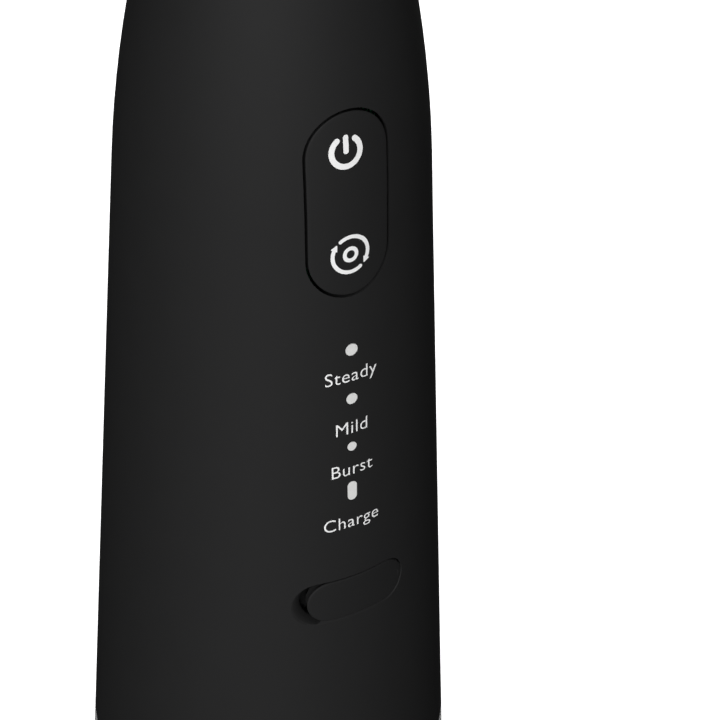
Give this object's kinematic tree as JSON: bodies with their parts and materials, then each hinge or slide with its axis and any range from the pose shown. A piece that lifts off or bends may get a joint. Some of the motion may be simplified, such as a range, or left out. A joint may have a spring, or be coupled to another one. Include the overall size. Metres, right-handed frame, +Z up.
{
  "type": "cordless oral irrigator",
  "caption": "Cordless dental water jet: tapered handle on a pull-off water tank, rocker button pad, hinged socket cover, turning dial with lift-off bent nozzle and a geared piston pump.",
  "frame": {"origin": "centre of the underside of the rubber foot", "axes": "+Z up the body to the nozzle, front with the buttons faces -Y, +X to the right as seen from the back"},
  "size_m": [0.069, 0.069, 0.3075],
  "materials": {
    "soft_black": "soft-touch matte, very fine grain",
    "pad_black": "soft-touch matte",
    "cap_black": "satin",
    "cover_rubber": "matte silicone rubber",
    "grey_plastic": "satin",
    "white_plastic": "satin",
    "screw_steel": "satin",
    "motor_steel": "satin zinc",
    "seal_rubber": "smooth",
    "lens_white": "milky, smooth",
    "led_white": "smooth",
    "contact_metal": "bright nickel",
    "board_green": "solder resist",
    "chip_black": "moulded",
    "cell_wrap": "shrink wrap",
    "brass": "machined",
    "gear_nylon": "natural acetal",
    "clear_grey": "moulded",
    "hose_silicone": "milky silicone",
    "nozzle_white": "glossy",
    "band_blue": "glossy",
    "tank_smoke": "smoky clear plastic, smooth",
    "foot_rubber": "matte"
  },
  "bodies": {
    "handle": {"handle_shell": "soft_black", "top_cap": "cap_black", "base_plate": "grey_plastic", "base_screws": "screw_steel", "tank_seal": "seal_rubber", "chassis": "white_plastic", "chassis_screws": "screw_steel", "pad_pin": "screw_steel", "pad_bracket": "white_plastic", "mode_lens_large": "lens_white", "mode_lens_medium": "lens_white", "mode_lens_small": "lens_white", "charge_lens": "lens_white", "cover_anchor": "cover_rubber", "charge_socket": "contact_metal", "main_board": "board_green", "board_chips": "chip_black", "indicator_leds": "led_white", "power_switch": "chip_black", "mode_switch": "chip_black", "battery_cell": "cell_wrap", "battery_tabs": "contact_metal", "motor_can": "motor_steel", "motor_cap": "chip_black", "gear_axle": "screw_steel", "pump_cylinder": "clear_grey", "valve_block": "clear_grey", "inlet_ball": "screw_steel", "outlet_ball": "screw_steel", "valve_spring": "screw_steel", "suction_hose": "hose_silicone", "outlet_tube": "hose_silicone", "nozzle_socket": "white_plastic", "eject_spring": "screw_steel", "dip_tube": "hose_silicone", "strainer": "grey_plastic"},
    "button": {"button_pad": "pad_black"},
    "port_flap": {"port_cover": "cover_rubber"},
    "ejector": {"eject_button": "cap_black"},
    "dial": {"nozzle_dial": "cap_black"},
    "nozzle": {"nozzle_body": "nozzle_white", "nozzle_band": "band_blue", "nozzle_ring": "seal_rubber"},
    "tank": {"tank_shell": "tank_smoke", "foot_pad": "foot_rubber", "lid_pin": "screw_steel"},
    "filler": {"filler_lid": "cap_black", "filler_seal": "seal_rubber"},
    "crank": {"crank_gear": "gear_nylon", "crank_pin": "screw_steel"},
    "rotor": {"pinion": "brass", "motor_shaft": "motor_steel"},
    "rod": {"connecting_rod": "gear_nylon"},
    "plunger": {"piston": "gear_nylon", "piston_seal": "seal_rubber"}
  },
  "joints": [
    {"name": "button_rock", "type": "hinge", "parent": "handle", "child": "button", "pos_m": [0, -0.01935, 0.177], "axis": [1, 0, 0], "range_deg": [-1.6, 1.6], "stiffness_Nm_per_rad": 0.5},
    {"name": "port_flap_hinge", "type": "hinge", "parent": "handle", "child": "port_flap", "pos_m": [0.00555, -0.02683, 0.1061], "axis": [0, 0, 1], "range_deg": [0, 80]},
    {"name": "ejector_press", "type": "slide", "parent": "handle", "child": "ejector", "axis": [0, -1, 0], "range_m": [0, 0.0015], "stiffness_N_per_m": 600, "deforming": ["eject_spring"]},
    {"name": "dial_turn", "type": "hinge", "parent": "handle", "child": "dial", "pos_m": [0, 0, 0.228], "axis": [0, 0, 1], "continuous": true},
    {"name": "nozzle_lift", "type": "slide", "parent": "dial", "child": "nozzle", "axis": [0, 0, 1], "range_m": [0, 0.045]},
    {"name": "handle_lift", "type": "slide", "parent": "tank", "child": "handle", "axis": [0, 0, 1], "range_m": [0, 0.075]},
    {"name": "filler_lid_hinge", "type": "hinge", "parent": "tank", "child": "filler", "pos_m": [0, 0.03025, 0.0434], "axis": [1, 0, 0], "range_deg": [0, 110]},
    {"name": "crank_spin", "type": "hinge", "parent": "handle", "child": "crank", "pos_m": [0.007, -0.0095, 0.086], "axis": [0, 1, 0], "continuous": true},
    {"name": "rotor_spin", "type": "hinge", "parent": "handle", "child": "rotor", "pos_m": [-0.00926, -0.0095, 0.086], "axis": [0, 1, 0], "continuous": true},
    {"name": "rod_swing", "type": "hinge", "parent": "crank", "child": "rod", "pos_m": [0.007, -0.0057, 0.089], "axis": [0, 1, 0], "continuous": true},
    {"name": "piston_stroke", "type": "slide", "parent": "handle", "child": "plunger", "axis": [0, 0, 1], "range_m": [-0.006, 0]}
  ],
  "couplings": [
    {"joint": "rotor_spin", "follows": "crank_spin", "ratio": -3.5},
    {"joint": "rod_swing", "follows": "crank_spin", "ratio": -1}
  ]
}
